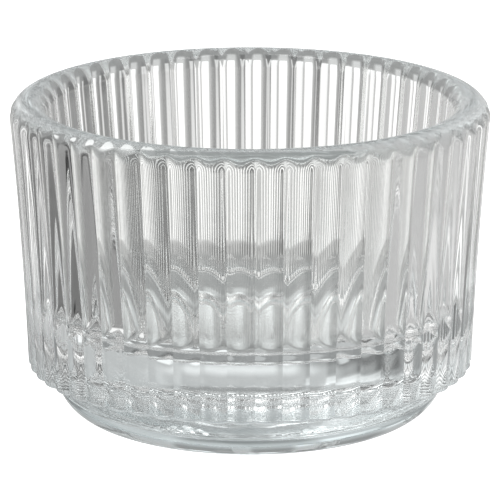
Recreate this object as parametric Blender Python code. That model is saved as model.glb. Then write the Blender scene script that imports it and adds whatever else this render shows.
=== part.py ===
"""Tealight holder: one cup of clear pressed glass, fluted outside, smooth inside, on a thick solid base.

The cup stands on the origin with its axis along +Z. The body is one loft of rings that runs from the
cavity floor up the inside, over the rim, down the fluted outside and under the foot.
"""

import math

import bmesh
import bpy

# Overall size, in metres
HEIGHT = 0.0350
RIM_RADIUS = 0.0259
RIM_ROUNDING = 0.0020

# Flutes: convex ribs that meet in sharp grooves
FLUTES = 52
GROOVE_DEPTH = 0.0005
GROOVE_TOP = 0.0347
GROOVE_RUN_OUT = 0.0016
RIB_END_HEIGHT = 0.0054
RIB_END_RADIUS = 0.0242
RIB_END_ROUNDING = 0.0005
WALL_FLARE = 0.535

# Cavity for the tealight
FLOOR_HEIGHT = 0.0105
FLOOR_FILLET = 0.0042
CAVITY_RADIUS_LOW = 0.0199

# Foot
FOOT_TOP = 0.0050
FOOT_RADIUS = 0.0213
FOOT_ROUNDING = 0.0048
REST_RING_INNER = 0.0142
RECESS_RADIUS = 0.0134
RECESS_DEPTH = 0.0005

# Points round a ring, for each flute
FLUTED_POINTS = 4
SMOOTH_POINTS = 2

GLASS_COLOUR = (0.93, 0.97, 0.95, 1.0)
GLASS_ROUGHNESS = 0.02
GLASS_IOR = 1.5


def clear_scene():
    for obj in list(bpy.data.objects):
        bpy.data.objects.remove(obj, do_unlink=True)


def glass_material():
    material = bpy.data.materials.new("clear_pressed_glass")
    material.use_nodes = True
    shader = material.node_tree.nodes["Principled BSDF"]
    shader.inputs["Base Color"].default_value = GLASS_COLOUR
    shader.inputs["Roughness"].default_value = GLASS_ROUGHNESS
    shader.inputs["IOR"].default_value = GLASS_IOR
    shader.inputs["Transmission Weight"].default_value = 1.0
    return material


def arc(centre_radius, centre_height, rounding, start, end, steps):
    """Points of a round corner, as (radius, height), from the start angle to the end angle in degrees."""
    angles = [math.radians(start + (end - start) * i / steps) for i in range(steps + 1)]
    return [
        (centre_radius + rounding * math.cos(a), centre_height + rounding * math.sin(a))
        for a in angles
    ]


def rib_crest_radius(height):
    """Radius over the ribs' crests: the wall leans outward, and a little more so towards the rim."""
    u = (height - RIB_END_HEIGHT) / (HEIGHT - RIM_ROUNDING - RIB_END_HEIGHT)
    spread = RIM_RADIUS - RIB_END_RADIUS
    return RIB_END_RADIUS + spread * (WALL_FLARE * u + (1 - WALL_FLARE) * u * u)


def groove_depth(height):
    """Grooves run out smoothly into the rounded rim, which leaves each one with an arched top."""
    t = min(max((GROOVE_TOP - height) / GROOVE_RUN_OUT, 0.0), 1.0)
    return GROOVE_DEPTH * t * t * (3 - 2 * t)


def inside_stations():
    """(radius, height) from the cavity floor's edge up the inner wall to the top of the rim."""
    fillet = arc(
        CAVITY_RADIUS_LOW - FLOOR_FILLET, FLOOR_HEIGHT + FLOOR_FILLET, FLOOR_FILLET, -90, 0, 5
    )
    rim = arc(RIM_RADIUS - RIM_ROUNDING, HEIGHT - RIM_ROUNDING, RIM_ROUNDING, 180, 90, 4)
    return fillet + rim


def outside_stations():
    """(radius, height, groove depth) from the rim's outer shoulder down to the ribs' lower ends."""
    shoulder = arc(RIM_RADIUS - RIM_ROUNDING, HEIGHT - RIM_ROUNDING, RIM_ROUNDING, 60, 0, 4)
    wall_heights = (0.0265, 0.0195, 0.0125, RIB_END_HEIGHT + RIB_END_ROUNDING)
    wall = [(rib_crest_radius(z), z) for z in wall_heights]
    rib_end = arc(
        wall[-1][0] - RIB_END_ROUNDING, wall[-1][1], RIB_END_ROUNDING, -40, -80, 1
    )
    return [(r, z, groove_depth(z)) for r, z in shoulder + wall + rib_end]


def foot_stations():
    """(radius, height) from the foot's neck under the ribs to the recess in the underside."""
    foot = arc(FOOT_RADIUS - FOOT_ROUNDING, FOOT_ROUNDING, FOOT_ROUNDING, 0, -90, 5)
    underside = [(REST_RING_INNER, 0.0), (RECESS_RADIUS, RECESS_DEPTH)]
    return [(FOOT_RADIUS, FOOT_TOP)] + foot + underside


def add_ring(mesh, radius, height, depth, points_per_flute):
    """One level ring. Across a flute the surface falls from the crest to the groove as a parabola."""
    ring = []
    for i in range(FLUTES * points_per_flute):
        angle = 2 * math.pi * i / (FLUTES * points_per_flute)
        across = 2 * (i % points_per_flute) / points_per_flute
        across = min(across, 2 - across)
        r = radius - depth * across * across
        ring.append(mesh.verts.new((r * math.cos(angle), r * math.sin(angle), height)))
    return ring


def bridge(mesh, first, second):
    """Faces between two rings, one of which may have a whole number of times more points."""
    count = min(len(first), len(second))
    step_a = len(first) // count
    step_b = len(second) // count
    for i in range(count):
        side_a = [first[(i * step_a + k) % len(first)] for k in range(step_a + 1)]
        side_b = [second[(i * step_b + k) % len(second)] for k in range(step_b + 1)]
        mesh.faces.new(side_b + side_a[::-1])


def glass_cup(collection):
    mesh = bmesh.new()
    rings = [add_ring(mesh, r, z, 0.0, SMOOTH_POINTS) for r, z in inside_stations()]
    rings += [add_ring(mesh, r, z, d, FLUTED_POINTS) for r, z, d in outside_stations()]
    rings += [add_ring(mesh, r, z, 0.0, SMOOTH_POINTS) for r, z in foot_stations()]
    for first, second in zip(rings, rings[1:]):
        bridge(mesh, first, second)
    mesh.faces.new(rings[0])
    mesh.faces.new(rings[-1][::-1])

    data = bpy.data.meshes.new("glass_cup")
    mesh.to_mesh(data)
    mesh.free()
    data.shade_smooth()
    data.set_sharp_from_angle(angle=math.radians(30))
    data.materials.append(glass_material())
    cup = bpy.data.objects.new("glass_cup", data)
    collection.objects.link(cup)


def main():
    clear_scene()
    collection = bpy.data.collections.new("tealight_holder")
    bpy.context.scene.collection.children.link(collection)
    glass_cup(collection)


main()
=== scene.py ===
"""Looks of the tealight holder: the finely fluted glass, a white table, soft studio light and the camera."""

import math

import bmesh
import bpy
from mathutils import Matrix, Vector


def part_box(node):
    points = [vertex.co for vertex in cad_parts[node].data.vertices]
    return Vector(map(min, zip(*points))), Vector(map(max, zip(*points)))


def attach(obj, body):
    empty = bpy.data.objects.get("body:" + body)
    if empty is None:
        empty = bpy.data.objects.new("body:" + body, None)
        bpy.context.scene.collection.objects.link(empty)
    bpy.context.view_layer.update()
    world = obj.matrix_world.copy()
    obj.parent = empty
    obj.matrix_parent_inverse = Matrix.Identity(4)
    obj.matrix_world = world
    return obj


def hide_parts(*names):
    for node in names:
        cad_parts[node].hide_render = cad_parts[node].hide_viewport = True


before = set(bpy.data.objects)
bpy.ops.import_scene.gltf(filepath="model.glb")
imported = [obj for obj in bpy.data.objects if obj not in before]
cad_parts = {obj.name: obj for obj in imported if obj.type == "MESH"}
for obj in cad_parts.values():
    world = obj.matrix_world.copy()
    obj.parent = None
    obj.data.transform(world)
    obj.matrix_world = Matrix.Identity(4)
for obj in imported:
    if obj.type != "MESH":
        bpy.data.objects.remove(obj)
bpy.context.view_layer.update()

# The cup's shape: its overall size comes from the frame, and the rest repeats the CAD's dimensions, in metres
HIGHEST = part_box("glass_cup")[1]
HEIGHT = HIGHEST.z
RIM_RADIUS = HIGHEST.x
RIM_ROUNDING = 0.0020
FLUTES = 52
GROOVE_DEPTH = 0.0005
GROOVE_TOP = 0.0347
GROOVE_RUN_OUT = 0.0016
RIB_END_HEIGHT = 0.0054
RIB_END_RADIUS = 0.0242
RIB_END_ROUNDING = 0.0005
WALL_FLARE = 0.535
FLOOR_HEIGHT = 0.0105
FLOOR_FILLET = 0.0042
CAVITY_RADIUS = 0.0199
FOOT_TOP = 0.0050
FOOT_NECK_FLARE = 0.0002
FOOT_RADIUS = 0.0213
FOOT_ROUNDING = 0.0048
REST_RING_INNER = 0.0142
RECESS_RADIUS = 0.0134
RECESS_DEPTH = 0.0005

# Finer shape than the CAD's: how soft the grooves are, as a share of half a flute, and how far the rounding
# of the lip runs on below the level, in degrees, to meet the leaning wall
GROOVE_SOFTNESS = 0.06
WALL_LEAN = 5.0

# Fineness of the glass mesh: points across a flute, and steps along each part of the profile
POINTS_PER_FLUTE = 16
FLOOR_STEPS = 6
FLOOR_FILLET_STEPS = 12
INNER_WALL_STEPS = 12
INNER_LIP_STEPS = 17
OUTER_LIP_STEPS = 19
OUTER_WALL_STEPS = 20
RIB_END_STEPS = 8
FOOT_STEPS = 14
RECESS_STEPS = 6
SHARP_EDGE_ANGLE = math.radians(35)

# Glass: its faint colour, which shows where it is thick, and the slight waviness of its surface
GLASS_IOR = 1.5
BASE_TINT = (0.895, 0.985, 1.0, 1.0)
WALL_TINT = (0.996, 1.0, 0.99, 1.0)
RIM_TINT = (0.935, 0.99, 0.99, 1.0)
WAVES_PER_METRE = 260.0
WAVE_HEIGHT = 0.00001
DULLEST_ROUGHNESS = 0.01

# Radial knurling in the recess under the base and on the resting ring
KNURLS_PER_METRE = 3000.0
KNURL_LENGTHENING = 0.4
KNURL_HEIGHT = 0.00006
KNURLS_FADE_FROM = RECESS_DEPTH + 0.00005
KNURLS_FADE_TO = RECESS_DEPTH + 0.00015

# White table
TABLE_RADIUS = 3.0
TABLE_GAP = 0.00002

# Light that reaches the glass from the darkest directions
DARKEST_LIGHT = 0.02

# Camera
CAMERA_DISTANCE = 0.480
CAMERA_ELEVATION = math.radians(15.25)
CAMERA_AZIMUTH = math.radians(2.2)
CAMERA_TARGET = Vector((0.0, 0.0, 0.01781))
LENS_MM = 317.8
SENSOR_MM = 36.0


def arc(centre_radius, centre_height, rounding, start, end, steps):
    """Points of a round corner, as (radius, height), from the start angle to the end angle in degrees."""
    angles = [math.radians(start + (end - start) * i / steps) for i in range(steps + 1)]
    return [
        (centre_radius + rounding * math.cos(a), centre_height + rounding * math.sin(a))
        for a in angles
    ]


def between(first, last, steps):
    """Points that divide the straight line between two stations, without its ends."""
    return [
        tuple(a + (b - a) * i / steps for a, b in zip(first, last)) for i in range(1, steps)
    ]


def rib_crest_radius(height):
    """Radius over the ribs' crests: the wall leans outward, and a little more so towards the rim."""
    u = (height - RIB_END_HEIGHT) / (HEIGHT - RIM_ROUNDING - RIB_END_HEIGHT)
    spread = RIM_RADIUS - RIB_END_RADIUS
    return RIB_END_RADIUS + spread * (WALL_FLARE * u + (1 - WALL_FLARE) * u * u)


def groove_depth(height):
    """Grooves run out smoothly into the rounded rim, which leaves each one with an arched top."""
    t = min(max((GROOVE_TOP - height) / GROOVE_RUN_OUT, 0.0), 1.0)
    return GROOVE_DEPTH * t * t * (3 - 2 * t)


def groove_shape(across):
    """Share of the groove's depth across a flute: 0 on the crest, 1 in the slightly soft groove."""
    inward = 1 - abs(across)
    soft = math.sqrt(inward * inward + GROOVE_SOFTNESS * GROOVE_SOFTNESS)
    full = math.sqrt(1 + GROOVE_SOFTNESS * GROOVE_SOFTNESS)
    return (1 - soft / full) ** 2 / (1 - GROOVE_SOFTNESS / full) ** 2


def stations():
    """(radius, height, groove depth) from the cavity floor, over the rim and down to the recess."""
    fillet_centre = (CAVITY_RADIUS - FLOOR_FILLET, FLOOR_HEIGHT + FLOOR_FILLET)
    fillet = arc(*fillet_centre, FLOOR_FILLET, -90, 0, FLOOR_FILLET_STEPS)
    rim_centre = (RIM_RADIUS - RIM_ROUNDING, HEIGHT - RIM_ROUNDING)
    inner_lip = arc(*rim_centre, RIM_ROUNDING, 180, 95, INNER_LIP_STEPS)
    outer_lip = arc(*rim_centre, RIM_ROUNDING, 90, -WALL_LEAN, OUTER_LIP_STEPS)
    floor = between((0.0, FLOOR_HEIGHT), fillet[0], FLOOR_STEPS)
    inside = floor + fillet + between(fillet[-1], inner_lip[0], INNER_WALL_STEPS) + inner_lip

    rib_end = RIB_END_HEIGHT + RIB_END_ROUNDING
    lip_end = outer_lip[-1][1]
    steps = range(1, OUTER_WALL_STEPS + 1)
    heights = [lip_end + (rib_end - lip_end) * i / OUTER_WALL_STEPS for i in steps]
    wall = [(rib_crest_radius(z), z) for z in heights]
    corner_centre = (wall[-1][0] - RIB_END_ROUNDING, wall[-1][1])
    corner = arc(*corner_centre, RIB_END_ROUNDING, -10, -90, RIB_END_STEPS)
    fluted = outer_lip + wall + corner

    neck = [(FOOT_RADIUS + FOOT_NECK_FLARE, corner[-1][1]), (FOOT_RADIUS, FOOT_TOP)]
    foot = arc(FOOT_RADIUS - FOOT_ROUNDING, FOOT_ROUNDING, FOOT_ROUNDING, 0, -90, FOOT_STEPS)
    recess = [(REST_RING_INNER, 0.0), (RECESS_RADIUS, RECESS_DEPTH)]
    below = neck + foot + recess + between(recess[-1], (0.0, RECESS_DEPTH), RECESS_STEPS)
    return (
        [(r, z, 0.0) for r, z in inside]
        + [(r, z, groove_depth(z)) for r, z in fluted]
        + [(r, z, 0.0) for r, z in below]
    )


def add_ring(mesh, radius, height, depth):
    """One level ring, with a rib's crest on the +X axis."""
    ring = []
    count = FLUTES * POINTS_PER_FLUTE
    for i in range(count):
        angle = 2 * math.pi * i / count
        across = 2 * ((i / POINTS_PER_FLUTE + 0.5) % 1.0) - 1
        r = radius - depth * groove_shape(across)
        ring.append(mesh.verts.new((r * math.cos(angle), r * math.sin(angle), height)))
    return ring


def glass_cup():
    """One closed mesh through all the rings, fanned shut on the cavity floor and in the recess."""
    mesh = bmesh.new()
    rings = [add_ring(mesh, *station) for station in stations()]
    for upper, lower in zip(rings, rings[1:]):
        for i in range(len(upper)):
            j = (i + 1) % len(upper)
            mesh.faces.new((upper[i], lower[i], lower[j], upper[j]))
    for ring, height in ((rings[0], FLOOR_HEIGHT), (rings[-1][::-1], RECESS_DEPTH)):
        centre = mesh.verts.new((0.0, 0.0, height))
        for i in range(len(ring)):
            mesh.faces.new((centre, ring[i], ring[(i + 1) % len(ring)]))
    data = bpy.data.meshes.new("fluted_glass")
    mesh.to_mesh(data)
    mesh.free()
    data.shade_smooth()
    data.set_sharp_from_angle(angle=SHARP_EDGE_ANGLE)
    data.materials.append(glass_material())
    cup = bpy.data.objects.new("fluted_glass", data)
    bpy.context.scene.collection.objects.link(cup)
    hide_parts("glass_cup")
    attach(cup, "root")


def maths(tree, operation, *values):
    """A Math node in a node tree, fed by numbers or by other nodes' outputs. Gives its output."""
    node = tree.nodes.new("ShaderNodeMath")
    node.operation = operation
    for socket, value in zip(node.inputs, values):
        if isinstance(value, (int, float)):
            socket.default_value = value
        else:
            tree.links.new(value, socket)
    return node.outputs[0]


def noise(tree, place, scale):
    """A Noise Texture node read at a place. Gives its value."""
    node = tree.nodes.new("ShaderNodeTexNoise")
    node.inputs["Scale"].default_value = scale
    node.inputs["Detail"].default_value = 1.0
    tree.links.new(place, node.inputs["Vector"])
    return node.outputs[0]


def glass_material():
    """Clear pressed glass: cooler where thick, very slightly wavy, and finely knurled under the base."""
    material = bpy.data.materials.new("pressed_glass")
    material.use_nodes = True
    tree = material.node_tree
    shader = tree.nodes["Principled BSDF"]
    shader.inputs["IOR"].default_value = GLASS_IOR
    shader.inputs["Transmission Weight"].default_value = 1.0
    place = tree.nodes.new("ShaderNodeTexCoord").outputs["Object"]
    axes = tree.nodes.new("ShaderNodeSeparateXYZ")
    tree.links.new(place, axes.inputs[0])
    x, y, z = axes.outputs

    tint = tree.nodes.new("ShaderNodeValToRGB")
    stops = tint.color_ramp.elements
    stops[0].position = FOOT_TOP / HEIGHT
    stops[0].color = BASE_TINT
    stops[1].position = 1.0
    stops[1].color = RIM_TINT
    stops.new(FLOOR_HEIGHT / HEIGHT).color = WALL_TINT
    stops.new(1 - RIM_ROUNDING / HEIGHT).color = WALL_TINT
    tree.links.new(maths(tree, "DIVIDE", z, HEIGHT), tint.inputs[0])
    tree.links.new(tint.outputs["Color"], shader.inputs["Base Color"])

    ripple = noise(tree, place, WAVES_PER_METRE)
    waviness = tree.nodes.new("ShaderNodeBump")
    waviness.inputs["Distance"].default_value = WAVE_HEIGHT
    tree.links.new(ripple, waviness.inputs["Height"])
    polish = tree.nodes.new("ShaderNodeMapRange")
    polish.inputs["To Min"].default_value = 0.0
    polish.inputs["To Max"].default_value = DULLEST_ROUGHNESS
    tree.links.new(ripple, polish.inputs["Value"])
    tree.links.new(polish.outputs[0], shader.inputs["Roughness"])

    # Noise over the turn round the axis and the distance from it, so each knurl points at the centre
    turn = maths(tree, "ARCTAN2", y, x)
    squares = maths(tree, "ADD", maths(tree, "POWER", x, 2.0), maths(tree, "POWER", y, 2.0))
    radius = maths(tree, "POWER", squares, 0.5)
    polar = tree.nodes.new("ShaderNodeCombineXYZ")
    tree.links.new(maths(tree, "MULTIPLY", turn, REST_RING_INNER), polar.inputs["X"])
    tree.links.new(maths(tree, "MULTIPLY", radius, KNURL_LENGTHENING), polar.inputs["Y"])
    knurls = noise(tree, polar.outputs[0], KNURLS_PER_METRE)
    under_base = tree.nodes.new("ShaderNodeMapRange")
    under_base.inputs["From Min"].default_value = KNURLS_FADE_FROM
    under_base.inputs["From Max"].default_value = KNURLS_FADE_TO
    under_base.inputs["To Min"].default_value = 1.0
    under_base.inputs["To Max"].default_value = 0.0
    tree.links.new(z, under_base.inputs["Value"])
    knurling = tree.nodes.new("ShaderNodeBump")
    knurling.inputs["Distance"].default_value = KNURL_HEIGHT
    tree.links.new(under_base.outputs[0], knurling.inputs["Strength"])
    tree.links.new(knurls, knurling.inputs["Height"])
    tree.links.new(waviness.outputs[0], knurling.inputs["Normal"])
    tree.links.new(knurling.outputs[0], shader.inputs["Normal"])
    return material


def table_floor():
    """A plain white surface, lit evenly enough to show no shadow; the glass looks past it at the studio."""
    mesh = bmesh.new()
    bmesh.ops.create_circle(mesh, cap_ends=True, radius=TABLE_RADIUS, segments=64)
    data = bpy.data.meshes.new("white_table")
    mesh.to_mesh(data)
    mesh.free()
    material = bpy.data.materials.new("white_table")
    material.use_nodes = True
    shader = material.node_tree.nodes["Principled BSDF"]
    shader.inputs["Base Color"].default_value = (0.9, 0.9, 0.9, 1.0)
    shader.inputs["Roughness"].default_value = 0.9
    shader.inputs["Emission Color"].default_value = (1.0, 1.0, 1.0, 1.0)
    shader.inputs["Emission Strength"].default_value = 1.0
    data.materials.append(material)
    table = bpy.data.objects.new("white_table", data)
    table.location.z = -TABLE_GAP
    table.visible_transmission = False
    table.visible_glossy = False
    bpy.context.scene.collection.objects.link(table)


class Studio:
    """A world lit by softboxes and shaded by black flags, all far away and placed by angle.

    Angles are in degrees: an azimuth of 0 is in front of the cup, 90 is on its right and 180 is straight
    behind it, and heights are above or below the level of the cup.
    """

    def __init__(self, ambient):
        world = bpy.data.worlds.new("studio")
        world.use_nodes = True
        bpy.context.scene.world = world
        self.tree = world.node_tree
        direction = self.tree.nodes.new("ShaderNodeTexCoord").outputs["Generated"]
        axes = self.tree.nodes.new("ShaderNodeSeparateXYZ")
        self.tree.links.new(direction, axes.inputs[0])
        x, y, z = axes.outputs
        towards_camera = self.maths("MULTIPLY", y, -1.0)
        self.azimuth = self.maths("DEGREES", self.maths("ARCTAN2", x, towards_camera))
        self.height = self.maths("DEGREES", self.maths("ARCSINE", z))
        self.light = self.maths("ADD", ambient, 0.0)

    def maths(self, operation, *values):
        return maths(self.tree, operation, *values)

    def edge(self, value, at, softness, rising):
        """1 on one side of an angle and 0 on the other, with a soft step between them."""
        node = self.tree.nodes.new("ShaderNodeMapRange")
        node.interpolation_type = "SMOOTHSTEP"
        self.tree.links.new(value, node.inputs["Value"])
        node.inputs["From Min"].default_value = at - softness
        node.inputs["From Max"].default_value = at + softness
        node.inputs["To Min"].default_value = 0.0 if rising else 1.0
        node.inputs["To Max"].default_value = 1.0 if rising else 0.0
        return node.outputs[0]

    def panel(self, azimuth, width, low, high, strength, softness):
        """A softbox, or with a negative strength a black flag."""
        turned = self.maths("WRAP", self.maths("SUBTRACT", self.azimuth, azimuth), 180.0, -180.0)
        sideways = self.edge(self.maths("ABSOLUTE", turned), width / 2, softness, False)
        above = self.edge(self.height, low, softness, True)
        below = self.edge(self.height, high, softness, False)
        window = self.maths("MULTIPLY", sideways, self.maths("MULTIPLY", above, below))
        self.light = self.maths("MULTIPLY_ADD", window, strength, self.light)

    def finish(self):
        """The camera itself sees plain white, and everything else sees the studio."""
        background = self.tree.nodes["Background"]
        background.inputs["Color"].default_value = (1.0, 1.0, 1.0, 1.0)
        paths = self.tree.nodes.new("ShaderNodeLightPath")
        lit = self.maths("MAXIMUM", self.light, DARKEST_LIGHT)
        shown = self.maths("MAXIMUM", lit, paths.outputs["Is Camera Ray"])
        self.tree.links.new(shown, background.inputs["Strength"])


def studio_light():
    studio = Studio(ambient=0.30)
    # Behind the cup: a bright backdrop low down, softer glows round and above it, narrow strips and flags
    studio.panel(azimuth=180, width=13, low=-25, high=-11, strength=0.65, softness=1.5)
    studio.panel(azimuth=180, width=20, low=-40, high=-13, strength=0.36, softness=4)
    studio.panel(azimuth=180, width=22, low=-12, high=-4, strength=0.36, softness=4)
    studio.panel(azimuth=-174, width=42, low=-9, high=12, strength=0.24, softness=4)
    studio.panel(azimuth=167, width=6, low=-26, high=-11, strength=0.6, softness=1)
    studio.panel(azimuth=-161, width=3, low=-28, high=-11, strength=0.5, softness=1)
    studio.panel(azimuth=-155, width=16, low=2, high=11, strength=0.32, softness=1.5)
    studio.panel(azimuth=-154, width=18, low=-14, high=0, strength=-0.16, softness=2)
    studio.panel(azimuth=-150, width=28, low=8, high=80, strength=0.28, softness=4)
    studio.panel(azimuth=-140, width=40, low=-40, high=-18, strength=-0.14, softness=3)
    studio.panel(azimuth=-121, width=4, low=-30, high=-10, strength=-0.15, softness=1)
    studio.panel(azimuth=180, width=120, low=30, high=88, strength=0.2, softness=8)
    # Right: a soft wash behind it, flags level with the cup, and a faint light from below
    studio.panel(azimuth=150, width=34, low=-28, high=30, strength=0.25, softness=3)
    studio.panel(azimuth=108, width=34, low=-17, high=4, strength=-0.4, softness=2)
    studio.panel(azimuth=85, width=30, low=-20, high=12, strength=-0.15, softness=3)
    studio.panel(azimuth=90, width=120, low=-90, high=-19, strength=0.22, softness=3)
    # In front: low light and a level strip on the right with a flag over them, and a tall softbox
    studio.panel(azimuth=35, width=70, low=-40, high=-20, strength=0.65, softness=3)
    studio.panel(azimuth=35, width=70, low=-6, high=2, strength=1.1, softness=2)
    studio.panel(azimuth=35, width=70, low=12, high=60, strength=-0.22, softness=5)
    studio.panel(azimuth=-17, width=34, low=-28, high=60, strength=0.4, softness=4)
    # Left: the main softbox
    studio.panel(azimuth=-60, width=80, low=-20, high=60, strength=0.58, softness=3)
    # Overhead: a broad softbox on the left and a bright small one on each side; below: one on the left
    studio.panel(azimuth=-90, width=70, low=30, high=88, strength=0.5, softness=5)
    studio.panel(azimuth=-64, width=30, low=62, high=84, strength=2.8, softness=1)
    studio.panel(azimuth=66, width=26, low=62, high=84, strength=2.0, softness=1)
    studio.panel(azimuth=-80, width=80, low=-90, high=-42, strength=0.72, softness=4)
    studio.finish()


def camera():
    data = bpy.data.cameras.new("camera")
    data.lens = LENS_MM
    data.sensor_width = SENSOR_MM
    data.clip_start = 0.01
    data.clip_end = 20.0
    obj = bpy.data.objects.new("camera", data)
    level = CAMERA_DISTANCE * math.cos(CAMERA_ELEVATION)
    obj.location = CAMERA_TARGET + Vector(
        (
            level * math.sin(CAMERA_AZIMUTH),
            -level * math.cos(CAMERA_AZIMUTH),
            CAMERA_DISTANCE * math.sin(CAMERA_ELEVATION),
        )
    )
    obj.rotation_euler = (math.pi / 2 - CAMERA_ELEVATION, 0.0, CAMERA_AZIMUTH)
    bpy.context.scene.collection.objects.link(obj)
    bpy.context.scene.camera = obj


def light_paths():
    scene = bpy.context.scene
    scene.view_settings.view_transform = "Standard"
    scene.cycles.max_bounces = 32
    scene.cycles.transmission_bounces = 32
    scene.cycles.glossy_bounces = 16
    scene.cycles.diffuse_bounces = 4
    scene.cycles.transparent_max_bounces = 16


glass_cup()
table_floor()
studio_light()
camera()
light_paths()
